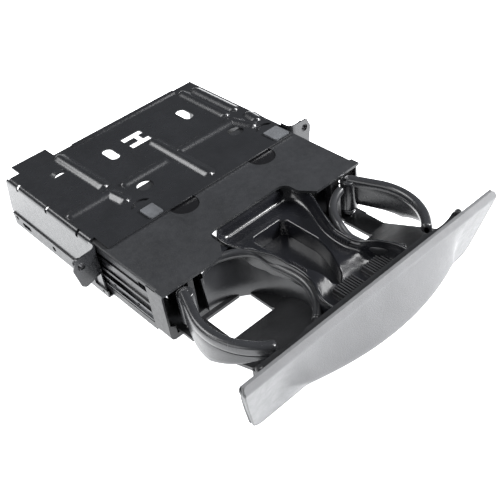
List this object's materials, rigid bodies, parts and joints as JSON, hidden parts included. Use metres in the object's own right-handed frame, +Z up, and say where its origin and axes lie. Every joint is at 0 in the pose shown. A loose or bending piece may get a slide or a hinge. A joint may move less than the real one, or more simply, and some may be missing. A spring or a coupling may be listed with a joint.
{
  "type": "dashboard pull-out cup holder",
  "caption": "Pull-out dashboard cup holder: folded steel housing, sliding carriage, drawer with cup wells, folding arms, a middle bin and a finger-pull front.",
  "frame": {"origin": "midway between the two fixing holes, on the front face of the ears", "axes": "+Y from the front panel towards the back of the housing, +Z up, +X to the right seen from the front"},
  "size_m": [0.2446, 0.3478, 0.06],
  "materials": {
    "housing_steel": "gloss black e-coat on folded sheet",
    "pan_steel": "satin black e-coat on folded sheet",
    "felt": "dark grey felt",
    "glide": "natural acetal, smooth",
    "nut_steel": "dark phosphate steel",
    "latch_plastic": "moulded, fine texture",
    "cover_plastic": "fine leather-like grain",
    "frame_plastic": "moulded, semi-gloss",
    "rail_steel": "zinc-plated, drawn",
    "tray_plastic": "moulded, fine grain",
    "bin_plastic": "moulded, polished",
    "mat_rubber": "ribbed soft rubber",
    "well_plastic": "moulded, satin",
    "floor_plastic": "moulded, fine grain",
    "arm_plastic": "moulded, satin",
    "pin_steel": "turned, bright",
    "spring_steel": "drawn spring wire",
    "striker_plastic": "glass-filled, matt",
    "fascia_plastic": "light grey with a fine grain"
  },
  "bodies": {
    "housing": {"housing_shell": "housing_steel", "bottom_plate": "pan_steel", "felt_pads": "felt", "glide_strips": "glide", "ear_nuts": "nut_steel", "latch_block": "latch_plastic"},
    "carriage": {"carriage_cover": "cover_plastic", "carriage_frame": "frame_plastic", "rail_left": "rail_steel", "rail_right": "rail_steel"},
    "drawer": {"drawer_tray": "tray_plastic", "center_bin": "bin_plastic", "ribbed_mat_left": "mat_rubber", "ribbed_mat_right": "mat_rubber", "cup_wall_left": "well_plastic", "cup_wall_right": "well_plastic", "cup_floor_left": "floor_plastic", "cup_floor_right": "floor_plastic", "latch_striker": "striker_plastic", "arm_pins": "pin_steel", "arm_spring_left": "spring_steel", "arm_spring_right": "spring_steel", "front_fascia": "fascia_plastic"},
    "left_arm": {"arm_left": "arm_plastic"},
    "right_arm": {"arm_right": "arm_plastic"}
  },
  "joints": [
    {"name": "carriage_slide", "type": "slide", "parent": "housing", "child": "carriage", "axis": [0, 1, 0], "range_m": [0, 0.072]},
    {"name": "drawer_slide", "type": "slide", "parent": "carriage", "child": "drawer", "axis": [0, 1, 0], "range_m": [0, 0.085]},
    {"name": "left_arm_swing", "type": "hinge", "parent": "drawer", "child": "left_arm", "pos_m": [-0.0825, -0.08, 0], "axis": [0, 0, 1], "range_deg": [0, 10.8]},
    {"name": "right_arm_swing", "type": "hinge", "parent": "drawer", "child": "right_arm", "pos_m": [0.0825, -0.08, 0], "axis": [0, 0, 1], "range_deg": [-10.8, 0]}
  ],
  "couplings": [
    {"joint": "left_arm_swing", "follows": "drawer_slide", "rad_per_m": 2.21},
    {"joint": "right_arm_swing", "follows": "drawer_slide", "rad_per_m": -2.21}
  ]
}
